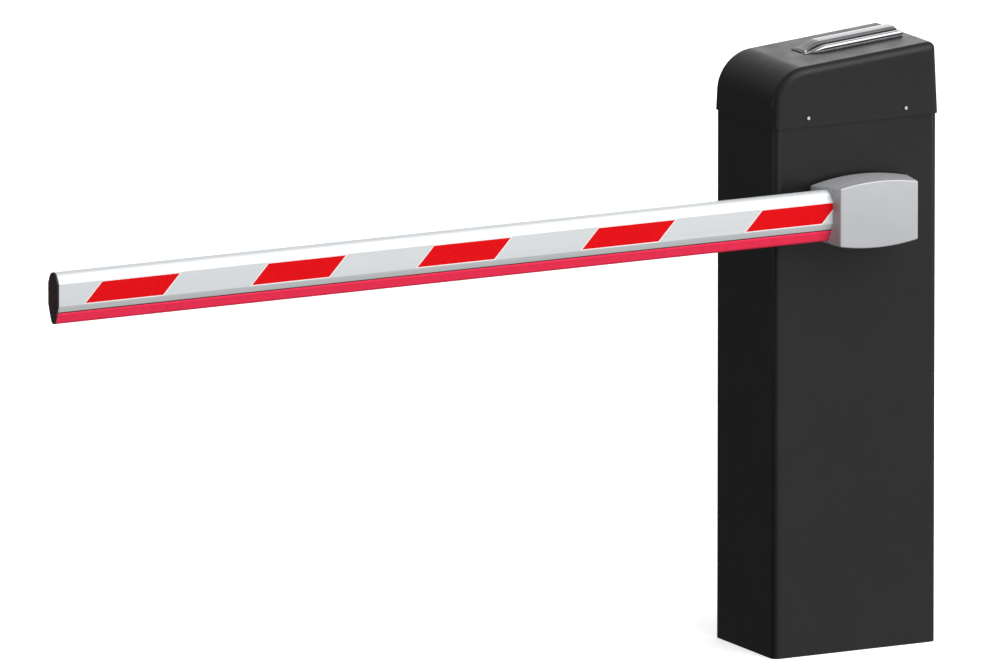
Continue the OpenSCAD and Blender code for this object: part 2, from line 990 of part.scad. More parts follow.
module cable(route, r) {
    n = len(route) - 1;
    rings = 5 * n;
    sides = 8;
    pts = [for (k = [0:rings])
        let (t = k * n / rings,
            dir = unit(spline(route, min(t + 0.02, n)) - spline(route, max(t - 0.02, 0))),
            a = unit(cross(dir, [0.31, 0.21, 0.93])), b = cross(dir, a))
        for (s = [0:sides - 1])
            spline(route, t) + r * (cos(s * 360 / sides) * a + sin(s * 360 / sides) * b)];
    polyhedron(pts, concat(
        [[for (s = [0:sides - 1]) s]],
        [for (k = [0:rings - 1], s = [0:sides - 1])
            [k * sides + s, (k + 1) * sides + s, (k + 1) * sides + (s + 1) % sides,
                k * sides + (s + 1) % sides]],
        [[for (s = [sides - 1:-1:0]) rings * sides + s]]));
}

motor_lead = [[-62, 17, 600], [-62, 34, 598], [-70, 44, 580], [-92, 36, 560], [-112, 12, 556],
    [-126, -14, 552], [-125, -36, 549], [-112, -46, 548], [-100, -48, 546.5], [-100, -48, 540]];
sensor_lead = [[-23, 45, 792], [-23, 46, 775], [-30, 48, 740], [-60, 48, 690], [-98, 40, 650],
    [-130, 10, 610], [-138, -30, 584], [-120, -44, 560], [-64, -44, 554], [-60, -44, 540]];
supply_lead = [[-40, -47, 222], [-40, -47, 216], [-46, -43.5, 211], [-52, -40, 207], [-52, -40, 200]];

module wiring_harness() {
    color(dark_rubber) {
        cable(motor_lead, 4);
        cable(sensor_lead, 2.5);
        cable(supply_lead, 3);
    }
}

// ---- Boom holder ----

module holder_blank() {
    intersection() {
        upright(holder_front, holder_back)
            translate([0, shaft_z])
                intersection() {
                    translate([0, holder_half_h - holder_arc_r])
                        circle(holder_arc_r, $fn = 256);
                    translate([0, holder_arc_r - holder_half_h])
                        circle(holder_arc_r, $fn = 256);
                    square([2 * holder_back_w, 2 * holder_half_h], center = true);
                }
        translate([0, 0, shaft_z - 100])
            linear_extrude(200)
                polygon([
                    [-holder_front_w, holder_front], [holder_front_w, holder_front],
                    [holder_back_w, holder_back], [-holder_back_w, holder_back]
                ]);
    }
}

holder_screw_spots = [for (x = [-48, 48], z = [-50, 50]) [x, z]];

// Opening that the boom slides into, a little wider than the boom all round
module channel_2d() {
    w = half_t + channel_gap;
    polygon([
        [-12.8, -27], [-7.8, -39], [7.8, -39], [12.8, -27], [13.1, rubber_top],
        [w, flat_z0 - 0.2], [w, flat_z1 + 0.2], [12.3, 38], [-12.3, 38], [-w, flat_z1 + 0.2],
        [-w, flat_z0 - 0.2], [-13.1, rubber_top]
    ]);
    translate([0, dome_z])
        circle(dome_r + channel_gap);
    translate([0, foot_z])
        circle(foot_r + channel_gap);
}

module holder_body() {
    color(cast_alu)
        difference() {
            union() {
                intersection() {
                    holder_blank();
                    block(-100, 100, holder_split + 0.2, 0, shaft_z - 100, shaft_z + 100);
                }
                rod_y(0, shaft_z, holder_back, holder_back + 8, hub_r);
            }
            along_boom(-120, channel_end)
                channel_2d();
            rod_y(0, shaft_z, holder_rear_wall - 1, holder_back + 9, shaft_r + press_gap);
            for (p = holder_screw_spots) {
                rod_y(p[0], shaft_z + p[1], holder_split - 1, holder_back + 1, holder_screw_r + 0.1);
                rod_y(p[0], shaft_z + p[1], holder_back - 8, holder_back + 1, 4.6);
            }
        }
}

module holder_cover() {
    color(cast_alu)
        difference() {
            intersection() {
                holder_blank();
                block(-100, 100, holder_front - 1, holder_split, shaft_z - 100, shaft_z + 100);
            }
            block(-66, 66, holder_front + 6, holder_split + 1, shaft_z - 40, shaft_z + 40);
            for (p = holder_screw_spots)
                rod_y(p[0], shaft_z + p[1], holder_split - 11, holder_split + 1, holder_screw_r);
        }
}

module holder_screws() {
    color(steel)
        for (p = holder_screw_spots) {
            rod_y(p[0], shaft_z + p[1], holder_split - 10, holder_back - 8, holder_screw_r);
            rod_y(p[0], shaft_z + p[1], holder_back - 8, holder_back - 2, 4.4);
        }
}

// ---- Boom ----

// Aluminium part of the section, drawn with the rubber edge downwards
module boom_2d(t) {
    polygon([
        [-12.5 + t, rubber_top + t], [12.5 - t, rubber_top + t], [half_t - t, flat_z0],
        [half_t - t, flat_z1], [12 - t, 37.5], [-12 + t, 37.5], [-half_t + t, flat_z1],
        [-half_t + t, flat_z0]
    ]);
    intersection() {
        translate([0, dome_z])
            circle(dome_r - t);
        translate([-20, 35])
            square([40, 20]);
    }
}

module rubber_2d() {
    polygon([[-12.5, rubber_top], [-12.2, -27], [-7.2, -38.6], [7.2, -38.6], [12.2, -27],
        [12.5, rubber_top]]);
    intersection() {
        translate([0, foot_z])
            circle(foot_r);
        translate([-10, foot_z - foot_r])
            square([20, 8]);
    }
}

// Draws a section across the boom and runs it along X
module along_boom(x0, x1) {
    translate([x0, -boom_y, shaft_z])
        rotate([90, 0, 90])
            linear_extrude(x1 - x0)
                children();
}

boom_x1 = channel_end - 4;

module boom_profile() {
    color("#d4d8dc")
        along_boom(-boom_len + cap_t, boom_x1)
            difference() {
                boom_2d(0);
                for (half = [[-30, 38], [10, 40]])
                    intersection() {
                        boom_2d(wall_t);
                        translate([-18, half[0]])
                            square([36, half[1]]);
                    }
                translate([-2.2, rubber_top - 1])
                    square([4.4, 4]);
            }
}

module bumper_strip() {
    color("#e0304a")
        along_boom(-boom_len + cap_t, boom_x1) {
            rubber_2d();
            translate([-2, rubber_top - 1])
                square([4, 4.5]);
            translate([-5, rubber_top + 2.3])
                square([10, 3]);
        }
}

module boom_end_cap() {
    color(dark_rubber) {
        along_boom(-boom_len, -boom_len + cap_t) {
            boom_2d(0);
            rubber_2d();
        }
        along_boom(-boom_len + cap_t, -boom_len + 18)
            intersection() {
                boom_2d(wall_t + 0.3);
                translate([-18, 11])
                    square([36, 40]);
            }
    }
}

module boom_stickers() {
    color("#e01020")
        for (i = [0:4], side = [-1, 1]) {
            y0 = side < 0 ? -boom_y - half_t - sticker_t : -boom_y + half_t;
            upright(y0, y0 + sticker_t)
                translate([sticker_first + i * sticker_pitch, shaft_z + flat_z0 + 0.1])
                    polygon([[0, 0], [sticker_len, 0], [sticker_len + sticker_lean, sticker_h],
                        [sticker_lean, sticker_h]]);
        }
}

cabinet_shell();
base_plate();
mounting_rails();
drive_plate();
drive_plate_bolts();
door_frame();
door_seal();
hinge_fixed_leaves();
hinge_pins();
front_seal_ring();
hood();
hood_screws();
hood_handle();
gearbox_housing();
gearbox_cover();
gearbox_bolts();
shaft_bearings();
worm_bearings();
motor_housing();
motor_end_shield();
stator();
stop_buffers();
position_sensor();
balance_spring();
spring_anchor_bracket();
tension_bolt();
tension_nuts();
equipment_plate();
control_box();
control_lid();
power_supply();
din_rail();
circuit_breaker();
terminal_blocks();
wiring_harness();
main_shaft();
worm_wheel();
spring_lever();
lever_pin();
magnet_disc();
holder_body();
holder_cover();
holder_screws();
boom_profile();
bumper_strip();
boom_end_cap();
boom_stickers();
spring_yoke();
worm();
motor_shaft();
rotor();
hand_wheel();
service_door();
hinge_door_leaves();
lock_housing();
lock_barrel();
breaker_toggle();
open_button();
stop_button();
close_button();
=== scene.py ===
import json
import math

import bmesh
import bpy
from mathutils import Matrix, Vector


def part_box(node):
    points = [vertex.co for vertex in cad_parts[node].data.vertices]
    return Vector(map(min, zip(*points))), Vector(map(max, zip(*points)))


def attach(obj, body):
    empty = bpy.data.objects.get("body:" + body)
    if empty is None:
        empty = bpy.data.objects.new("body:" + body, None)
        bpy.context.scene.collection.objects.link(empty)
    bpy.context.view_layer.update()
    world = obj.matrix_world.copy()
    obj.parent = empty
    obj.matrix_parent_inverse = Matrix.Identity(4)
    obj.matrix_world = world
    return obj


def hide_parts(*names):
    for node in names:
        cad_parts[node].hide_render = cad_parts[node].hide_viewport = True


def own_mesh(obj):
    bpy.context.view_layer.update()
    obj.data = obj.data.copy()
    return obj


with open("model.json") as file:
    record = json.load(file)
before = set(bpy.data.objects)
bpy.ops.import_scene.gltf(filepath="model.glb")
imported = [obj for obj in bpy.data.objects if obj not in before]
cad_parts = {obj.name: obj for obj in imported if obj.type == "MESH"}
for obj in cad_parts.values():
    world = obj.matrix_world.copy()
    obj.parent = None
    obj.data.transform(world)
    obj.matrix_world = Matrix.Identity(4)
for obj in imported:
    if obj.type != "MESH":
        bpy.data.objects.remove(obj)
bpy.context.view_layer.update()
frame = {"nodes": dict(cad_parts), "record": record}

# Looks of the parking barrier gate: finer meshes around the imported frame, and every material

MM = 0.001
SCENE = bpy.context.scene
PIVOTS = {joint["name"]: joint.get("pos_m") for joint in frame["record"]["behaviour"]["joints"]}
SHAFT_Z = PIVOTS["boom_lift"][2]


# ---------------------------------------------------------------- mesh helpers

def new_object(name, verts, faces, smooth=True):
    """A mesh object from points in metres and lists of corners."""
    mesh = bpy.data.meshes.new(name)
    mesh.from_pydata([tuple(v) for v in verts], [], faces)
    bm = bmesh.new()
    bm.from_mesh(mesh)
    bmesh.ops.recalc_face_normals(bm, faces=bm.faces)
    bm.to_mesh(mesh)
    bm.free()
    for face in mesh.polygons:
        face.use_smooth = smooth
    obj = bpy.data.objects.new(name, mesh)
    SCENE.collection.objects.link(obj)
    return obj


def loft(rings, closed=True):
    """Points and faces of a skin over rings of equal length, its two ends closed."""
    count = len(rings[0])
    verts = [p for ring in rings for p in ring]
    faces = []
    for k in range(len(rings) - 1):
        for i in range(count):
            j = (i + 1) % count
            faces.append([k * count + i, k * count + j, (k + 1) * count + j, (k + 1) * count + i])
    if closed:
        faces.append(list(range(count))[::-1])
        faces.append([(len(rings) - 1) * count + i for i in range(count)])
    return verts, faces


def merged(parts):
    """Several (points, faces) pairs as one."""
    verts, faces = [], []
    for part_verts, part_faces in parts:
        start = len(verts)
        verts += part_verts
        faces += [[i + start for i in face] for face in part_faces]
    return verts, faces


def filleted(corners, steps=8):
    """A closed outline from (x, y, radius) corners, each rounded by an arc."""
    outline = []
    for i, (x, y, radius) in enumerate(corners):
        here = Vector((x, y))
        before = (Vector(corners[i - 1][:2]) - here).normalized()
        after = (Vector(corners[(i + 1) % len(corners)][:2]) - here).normalized()
        half = before.angle(after) / 2
        if radius <= 0 or abs(half - math.pi / 2) < 1e-3:
            outline.append(here)
            continue
        reach = radius / math.tan(half)
        centre = here + (before + after).normalized() * (radius / math.sin(half))
        first = here + before * reach - centre
        last = here + after * reach - centre
        turn = first.angle_signed(last)
        for k in range(steps + 1):
            a = -turn * k / steps
            outline.append(centre + Vector((
                first.x * math.cos(a) - first.y * math.sin(a),
                first.x * math.sin(a) + first.y * math.cos(a))))
    return outline


def tube(points, radius, sides=12):
    """Points and faces of a round tube that follows a line of points."""
    rings = []
    side = Vector((0.31, 0.21, 0.93))
    for k, point in enumerate(points):
        ahead = Vector(points[min(k + 1, len(points) - 1)])
        behind = Vector(points[max(k - 1, 0)])
        along = (ahead - behind).normalized()
        across = along.cross(side).normalized()
        side = across.cross(along).normalized()
        rings.append([
            Vector(point) + radius * (math.cos(a) * across + math.sin(a) * side)
            for a in (2 * math.pi * s / sides for s in range(sides))])
    return loft(rings)


def lathe(profile, origin, axis="Z", steps=48):
    """Points and faces of (radius, height) points turned about an axis through origin."""
    rings = []
    for radius, height in profile:
        ring = []
        for s in range(steps):
            a = 2 * math.pi * s / steps
            u, v = radius * math.cos(a), radius * math.sin(a)
            offset = {"Z": (u, v, height), "Y": (u, height, v), "X": (height, u, v)}[axis]
            ring.append(Vector(origin) + Vector(offset))
        rings.append(ring)
    return loft(rings)


def round_sharp(obj, width, segments=2, angle=32):
    """Rounds every edge sharper than an angle."""
    edges = obj.modifiers.new("edges", "BEVEL")
    edges.width = width
    edges.segments = segments
    edges.limit_method = "ANGLE"
    edges.angle_limit = math.radians(angle)
    edges.harden_normals = True


def soften(obj, width=0.0004, segments=2):
    """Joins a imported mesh's split edges, clears its flat faces of triangles and rounds its edges."""
    weld = obj.modifiers.new("weld", "WELD")
    weld.merge_threshold = 0.00002
    flat = obj.modifiers.new("flat", "DECIMATE")
    flat.decimate_type = "DISSOLVE"
    flat.angle_limit = math.radians(0.4)
    round_sharp(obj, width, segments)


def carve(obj, cutter):
    """Cuts another mesh out of this one, for good."""
    cut = obj.modifiers.new("cut", "BOOLEAN")
    cut.operation = "DIFFERENCE"
    cut.solver = "EXACT"
    cut.object = cutter
    graph = bpy.context.evaluated_depsgraph_get()
    carved = bpy.data.meshes.new_from_object(obj.evaluated_get(graph))
    obj.modifiers.clear()
    obj.data = carved
    bpy.data.objects.remove(cutter)


# ---------------------------------------------------------------- materials

class Surface:
    """One Principled material whose patterns lie in the object's own metres."""

    def __init__(self, name, **sockets):
        self.material = bpy.data.materials.new(name)
        self.material.use_nodes = True
        self.tree = self.material.node_tree
        self.shader = self.tree.nodes["Principled BSDF"]
        self.place = self.node("ShaderNodeTexCoord").outputs["Object"]
        self.normal = None
        for socket, value in sockets.items():
            self.shader.inputs[socket.replace("_", " ")].default_value = value

    def node(self, kind, **settings):
        made = self.tree.nodes.new(kind)
        for key, value in settings.items():
            setattr(made, key, value)
        return made

    def link(self, source, socket):
        self.tree.links.new(source, socket)

    def stretched(self, stretch):
        mapping = self.node("ShaderNodeMapping")
        mapping.inputs["Scale"].default_value = stretch
        self.link(self.place, mapping.inputs["Vector"])
        return mapping.outputs["Vector"]

    def noise(self, scale, detail=4.0, rough=0.55, stretch=(1, 1, 1), distortion=0.0):
        made = self.node("ShaderNodeTexNoise")
        self.link(self.stretched(stretch), made.inputs["Vector"])
        made.inputs["Scale"].default_value = scale
        made.inputs["Detail"].default_value = detail
        made.inputs["Roughness"].default_value = rough
        made.inputs["Distortion"].default_value = distortion
        return made.outputs["Fac"]

    def cells(self, scale, feature="F1", randomness=1.0, output="Distance"):
        made = self.node("ShaderNodeTexVoronoi", feature=feature)
        self.link(self.stretched((1, 1, 1)), made.inputs["Vector"])
        made.inputs["Scale"].default_value = scale
        made.inputs["Randomness"].default_value = randomness
        return made.outputs[output]

    def remap(self, value, low, high, from_low=0.3, from_high=0.7):
        made = self.node("ShaderNodeMapRange")
        self.link(value, made.inputs["Value"])
        made.inputs["From Min"].default_value = from_low
        made.inputs["From Max"].default_value = from_high
        made.inputs["To Min"].default_value = low
        made.inputs["To Max"].default_value = high
        return made.outputs["Result"]

    def combine(self, a, b, operation="MULTIPLY"):
        made = self.node("ShaderNodeMath", operation=operation)
        self.link(a, made.inputs[0])
        if isinstance(b, (int, float)):
            made.inputs[1].default_value = b
        else:
            self.link(b, made.inputs[1])
        return made.outputs[0]

    def blend(self, share, first, second):
        """A colour between two, each a colour or another node's output."""
        made = self.node("ShaderNodeMix", data_type="RGBA")
        self.link(share, made.inputs["Factor"])
        inputs = [s for s in made.inputs if s.type == "RGBA"]
        for socket, colour in zip(inputs, (first, second)):
            if isinstance(colour, tuple):
                socket.default_value = (*colour, 1.0)
            else:
                self.link(colour, socket)
        return [s for s in made.outputs if s.type == "RGBA"][0]

    def edges(self, low=0.52, high=0.62):
        """Near 1 on edges that stand out, 0 elsewhere."""
        geometry = self.node("ShaderNodeNewGeometry")
        return self.remap(geometry.outputs["Pointiness"], 0.0, 1.0, low, high)

    def colour(self, output):
        self.link(output, self.shader.inputs["Base Color"])
        return self

    def roughness(self, output):
        self.link(output, self.shader.inputs["Roughness"])
        return self

    def bump(self, height, strength, distance):
        made = self.node("ShaderNodeBump")
        made.inputs["Strength"].default_value = strength
        made.inputs["Distance"].default_value = distance
        self.link(height, made.inputs["Height"])
        if self.normal is not None:
            self.link(self.normal, made.inputs["Normal"])
        self.normal = made.outputs["Normal"]
        self.link(self.normal, self.shader.inputs["Normal"])
        return self


def coated(name, colour, tint, rough=(0.28, 0.40), grain=900.0, strength=0.2, worn=0.12, **sockets):
    """Powder coat: orange-peel grain, faint cloudiness, dust in patches and rubbed edges."""
    s = Surface(name, **sockets)
    clouds = s.noise(7.0, 5.0, 0.6)
    dust = s.remap(s.noise(38.0, 6.0, 0.7), 0.0, 1.0, 0.45, 0.85)
    base = s.blend(s.remap(clouds, 0.0, 1.0), colour, tint)
    base = s.blend(s.combine(dust, 0.10), base, tuple(min(1.0, c * 1.6 + 0.006) for c in colour))
    wear = s.combine(s.edges(), s.remap(s.noise(140.0, 3.0), 0.0, worn))
    s.colour(s.blend(wear, base, tuple(min(1.0, c * 2.5 + 0.04) for c in colour)))
    s.roughness(s.remap(s.noise(24.0, 5.0, 0.65), *rough))
    s.bump(s.noise(grain, 2.0, 0.5), strength, 0.00025)
    return s.material


def metal(name, colour, rough, stretch=(1, 1, 1), grain=700.0, strength=0.2, tone=0.12, **sockets):
    """Bare metal with directional grain, handling marks and brighter edges."""
    s = Surface(name, Metallic=1.0, **sockets)
    lines = s.noise(grain, 3.0, 0.6, stretch)
    marks = s.noise(30.0, 6.0, 0.7, distortion=0.4)
    darker = tuple(c * (1 - tone) for c in colour)
    brighter = tuple(min(1.0, c * 1.15 + 0.02) for c in colour)
    base = s.blend(s.remap(marks, 0.0, 1.0), darker, colour)
    s.colour(s.blend(s.edges(), base, brighter))
    s.roughness(s.combine(s.remap(marks, *rough), s.remap(lines, -0.04, 0.04), "ADD"))
    s.bump(lines, strength, 0.00012)
    return s.material


def zinc_plate(name):
    """Zinc plating: large spangles under a soft sheen."""
    s = Surface(name, Metallic=1.0)
    spangle = s.cells(65.0, output="Color")
    tone = s.node("ShaderNodeSeparateColor")
    s.link(spangle, tone.inputs[0])
    grey = s.blend(tone.outputs[0], (0.50, 0.52, 0.54), (0.68, 0.70, 0.72))
    s.colour(s.blend(s.edges(), grey, (0.8, 0.82, 0.84)))
    s.roughness(s.combine(s.remap(tone.outputs[1], 0.30, 0.42, 0.0, 1.0),
                          s.remap(s.noise(40.0, 5.0), -0.05, 0.06), "ADD"))
    s.bump(s.noise(420.0, 3.0), 0.15, 0.0002)
    return s.material


def casting(name, colour, rough=(0.36, 0.5), strength=0.35, metallic=0.55, **sockets):
    """Silver-painted casting: sand grain under paint with fine metal flake."""
    s = Surface(name, Metallic=metallic, **sockets)
    flake = s.cells(2600.0, output="Color")
    tone = s.node("ShaderNodeSeparateColor")
    s.link(flake, tone.inputs[0])
    base = s.blend(tone.outputs[0], tuple(c * 0.93 for c in colour), colour)
    shade = s.remap(s.noise(14.0, 4.0, 0.6), 0.0, 0.35)
    base = s.blend(shade, base, tuple(c * 0.86 for c in colour))
    s.colour(s.blend(s.combine(s.edges(), 0.7), base, tuple(min(1.0, c * 1.12 + 0.03) for c in colour)))
    s.roughness(s.remap(s.noise(60.0, 5.0, 0.65), *rough))
    s.bump(s.noise(520.0, 4.0, 0.6), strength, 0.0002)
    return s.material


def plastic(name, colour, rough=(0.3, 0.42), grain=1500.0, strength=0.2, **sockets):
    """Moulded plastic with spark-eroded grain and slightly paler edges."""
    s = Surface(name, **sockets)
    base = s.blend(s.remap(s.noise(11.0, 4.0), 0.0, 1.0), tuple(c * 0.9 for c in colour), colour)
    s.colour(s.blend(s.combine(s.edges(), 0.45), base, tuple(min(1.0, c * 1.3 + 0.02) for c in colour)))
    s.roughness(s.remap(s.noise(45.0, 5.0, 0.6), *rough))
    s.bump(s.cells(grain), strength, 0.0001)
    return s.material


def rubber(name, colour, rough=(0.5, 0.68), bloom=0.25, **sockets):
    """Rubber: matt skin, fine pores and a pale bloom in patches."""
    s = Surface(name, **sockets)
    pores = s.noise(1300.0, 3.0, 0.6)
    patches = s.remap(s.noise(9.0, 6.0, 0.65), 0.0, bloom, 0.4, 0.8)
    base = s.blend(s.remap(s.noise(90.0, 4.0), 0.0, 1.0), tuple(c * 0.88 for c in colour), colour)
    s.colour(s.blend(patches, base, tuple(min(1.0, c * 1.15 + 0.03) for c in colour)))
    s.roughness(s.remap(s.noise(30.0, 5.0), *rough))
    s.bump(pores, 0.25, 0.00015)
    return s.material


def extrusion(name):
    """Matt anodised extrusion: faint die lines along the boom and soft handling marks."""
    s = Surface(name, Metallic=0.2)
    lines = s.noise(420.0, 3.0, 0.6, (0.004, 1.0, 1.0))
    marks = s.noise(16.0, 6.0, 0.7)
    base = s.blend(s.remap(lines, 0.0, 1.0), (0.565, 0.585, 0.60), (0.62, 0.64, 0.65))
    s.colour(s.blend(s.remap(marks, 0.0, 0.3), base, (0.54, 0.56, 0.57)))
    s.roughness(s.combine(s.remap(marks, 0.3, 0.42), s.remap(lines, -0.03, 0.03), "ADD"))
    s.bump(lines, 0.12, 0.00012)
    return s.material


def reflective_film(name, colour):
    """Prismatic film: a fine honeycomb under a clear skin."""
    s = Surface(name, Specular_IOR_Level=0.06, Coat_Weight=0.02, Coat_Roughness=0.2)
    comb = s.cells(300.0, "DISTANCE_TO_EDGE", 0.25)
    wall = s.remap(comb, 1.0, 0.0, 0.02, 0.1)
    glint = s.cells(900.0, output="Color")
    tone = s.node("ShaderNodeSeparateColor")
    s.link(glint, tone.inputs[0])
    base = s.blend(tone.outputs[0], tuple(c * 0.86 for c in colour), colour)
    s.colour(s.blend(s.combine(wall, 0.3), base, tuple(min(1.0, c * 1.1 + 0.012) for c in colour)))
    s.roughness(s.remap(s.noise(60.0, 4.0), 0.28, 0.4))
    s.bump(comb, 0.1, 0.0001)
    return s.material


def chrome(name):
    """Bright chrome with a breath of smudging."""
    s = Surface(name, Metallic=1.0)
    smudge = s.noise(26.0, 6.0, 0.7, distortion=0.6)
    s.colour(s.blend(s.remap(smudge, 0.0, 1.0), (0.25, 0.255, 0.27), (0.32, 0.325, 0.34)))
    s.roughness(s.remap(smudge, 0.18, 0.28))
    s.bump(s.noise(40.0, 2.0), 0.015, 0.0001)
    return s.material


def windings(name):
    """Enamelled copper wire, wound round the core."""
    s = Surface(name, Metallic=0.7)
    wires = s.noise(520.0, 2.0, 0.5, (0.05, 0.05, 1.0))
    s.colour(s.blend(s.remap(wires, 0.0, 1.0), (0.34, 0.12, 0.04), (0.62, 0.28, 0.11)))
    s.roughness(s.remap(s.noise(50.0, 4.0), 0.28, 0.42))
    s.bump(wires, 0.6, 0.0004)
    return s.material


def steel_dark(name):
    """Oil-blackened steel."""
    s = Surface(name, Metallic=0.9)
    mottle = s.noise(55.0, 6.0, 0.7)
    base = s.blend(s.remap(mottle, 0.0, 1.0), (0.045, 0.047, 0.052), (0.1, 0.103, 0.11))
    s.colour(s.blend(s.combine(s.edges(), 0.6), base, (0.36, 0.37, 0.38)))
    s.roughness(s.remap(mottle, 0.28, 0.46))
    s.bump(s.noise(600.0, 3.0), 0.15, 0.00015)
    return s.material


MATERIALS = {
    "coat": coated("black_powder_coat", (0.0110, 0.0110, 0.0114), (0.0135, 0.0135, 0.0138),
                   Specular_IOR_Level=0.19),
    "zinc": zinc_plate("zinc_plate"),
    "steel": metal("bright_steel", (0.58, 0.59, 0.61), (0.22, 0.34)),
    "spring": steel_dark("blackened_steel"),
    "magnet": metal("coated_magnet", (0.14, 0.14, 0.15), (0.3, 0.42)),
    "laminations": metal("laminations", (0.42, 0.42, 0.44), (0.35, 0.5), (1, 1, 8), 500.0, 0.5),
    "winding": windings("copper_winding"),
    "bronze": metal("gear_bronze", (0.72, 0.46, 0.18), (0.2, 0.32), (1, 1, 1), 500.0, 0.2),
    "chrome": chrome("bright_chrome"),
    "cast": casting("silver_casting", (0.455, 0.46, 0.48), (0.40, 0.52), metallic=0.3),
    "motor_paint": coated("motor_enamel", (0.035, 0.04, 0.048), (0.045, 0.05, 0.058), (0.3, 0.42), 500.0),
    "extrusion": extrusion("anodised_extrusion"),
    "red_rubber": rubber("red_rubber", (0.90, 0.026, 0.085), (0.42, 0.58), 0.10, Specular_IOR_Level=0.15),
    "sticker_film": reflective_film("red_film", (0.70, 0.0, 0.003)),
    "black_plastic": plastic("black_plastic", (0.034, 0.019, 0.018), (0.24, 0.36), 900.0, 0.08,
                             Specular_IOR_Level=0.3),
    "black_rubber": rubber("black_rubber", (0.022, 0.022, 0.023)),
    "grey_plastic": plastic("grey_plastic", (0.30, 0.32, 0.34)),
    "supply_case": metal("pressed_aluminium", (0.62, 0.63, 0.64), (0.3, 0.42), (1, 1, 0.05), 500.0),
    "breaker_plastic": plastic("pale_plastic", (0.66, 0.66, 0.63)),
    "board": plastic("potting_green", (0.03, 0.16, 0.08), (0.2, 0.35)),
    "green_plastic": plastic("green_plastic", (0.03, 0.33, 0.10), (0.18, 0.3)),
    "stop_plastic": plastic("stop_plastic", (0.62, 0.03, 0.02), (0.18, 0.3)),
    "yellow_plastic": plastic("yellow_plastic", (0.78, 0.48, 0.03), (0.18, 0.3)),
}
WHITE_FILM = reflective_film("white_film", (0.84, 0.84, 0.83))
SLOT_OF = {row["node"]: row["material_slot"] for row in frame["record"]["subparts"]}


def paint(obj, *materials):
    obj.data.materials.clear()
    for material in materials:
        obj.data.materials.append(material)


def stand_in(obj, body, *nodes):
    """A finer piece that rides on a body and stands for its nodes, which it hides."""
    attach(obj, body)
    if nodes:
        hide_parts(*nodes)
    return obj


# ---------------------------------------------------------------- boom

BOOM_LOW, BOOM_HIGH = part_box("boom_profile")
FILM_LOW, FILM_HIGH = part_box("boom_stickers")
BOOM_Y = (BOOM_LOW.y + BOOM_HIGH.y) / 2
HALF_T = (BOOM_HIGH.y - BOOM_LOW.y) / 2
JOIN = -23 * MM
FLAT_LOW, FLAT_HIGH = -12 * MM, 26.3 * MM
DOME_Z, DOME_R = 31.5 * MM, 13.5 * MM
FOOT_Z, FOOT_R = -37.5 * MM, 7.5 * MM
DOME_SEAT = 37.2 * MM
# Height of the black strip painted as shadow along the top of the rubber edge
SEAM = 1.7 * MM


def arc(cx, cy, radius, start, end, steps):
    """Points on an arc, angles in degrees."""
    turns = [math.radians(start + (end - start) * k / steps) for k in range(steps + 1)]
    return [Vector((cx + radius * math.cos(a), cy + radius * math.sin(a))) for a in turns]


def boom_outline(grow=0.0):
    """Aluminium section: narrow foot, leaning facet, flat side and domed top."""
    side = HALF_T + grow
    right = filleted([(0.0, JOIN - grow, 0.0), (12.5 * MM + grow, JOIN - grow, 0.8 * MM),
                      (side, FLAT_LOW, 1.2 * MM), (side, FLAT_HIGH, 1.2 * MM),
                      (12.2 * MM + grow, DOME_SEAT, 0.0), (0.0, DOME_SEAT, 0.0)], 4)[1:-2]
    right += arc(0.0, DOME_Z, DOME_R + grow, 25, 90, 14)
    return right + [Vector((-p.x, p.y)) for p in reversed(right[:-1])]


def rubber_outline(grow=0.0):
    """Rubber edge: set back a little under the aluminium, then tapering to a round foot."""
    right = filleted([(0.0, JOIN, 0.0), (10.2 * MM + grow, JOIN, 0.0),
                      (10.4 * MM + grow, JOIN - 1.2 * MM, 0.0),
                      (12.25 * MM + grow, JOIN - 1.9 * MM, 0.8 * MM),
                      (12.0 * MM + grow, -28 * MM, 4 * MM), (7.1 * MM + grow, -38.8 * MM, 0.0),
                      (0.0, -38.8 * MM, 0.0)], 5)[1:-2]
    right += arc(0.0, FOOT_Z, FOOT_R + grow, -12, -90, 10)
    return (right + [Vector((-p.x, p.y)) for p in reversed(right[:-1])])[::-1]


def whole_outline(grow=0.0):
    """Both parts' outer edge together, as the end plate and the holder's opening follow it."""
    upper = [p for p in boom_outline(grow) if p.y > JOIN + 0.5 * MM]
    lower = [p for p in rubber_outline(grow) if p.y < JOIN - 2.6 * MM]
    return sorted(upper + lower, key=lambda p: math.atan2(p.y, p.x))


def run_along_boom(outline, stations):
    """Skin over an outline repeated at (x, shrink) stations."""
    return loft([
        [Vector((x, BOOM_Y + p.x * (1 - shrink), SHAFT_Z + p.y * (1 - shrink))) for p in outline]
        for x, shrink in stations])


def make_boom():
    """Aluminium tube and its rubber edge, with a painted shadow: a black strip at the rubber's top stands
    for the shadow in the gap between them.
    """
    middle = (BOOM_LOW.x + BOOM_HIGH.x) / 2
    ends = [(BOOM_LOW.x, 0.0), (middle, 0.0), (BOOM_HIGH.x, 0.0)]
    skin = new_object("boom_tube", *run_along_boom(boom_outline(), ends))
    round_sharp(skin, 0.0004)
    paint(skin, MATERIALS["extrusion"])
    stand_in(skin, "boom", "boom_profile")
    edge = new_object("boom_rubber_edge", *run_along_boom(rubber_outline(), ends))
    round_sharp(edge, 0.0003)
    paint(edge, MATERIALS["red_rubber"], MATERIALS["black_rubber"])
    for face in edge.data.polygons:
        # The black strip, SEAM high, is painted shadow in the gap under the aluminium.
        in_painted_shadow = face.center.z > SHAFT_Z + JOIN - SEAM
        face.material_index = int(in_painted_shadow and len(face.vertices) == 4)
    stand_in(edge, "boom", "bumper_strip")


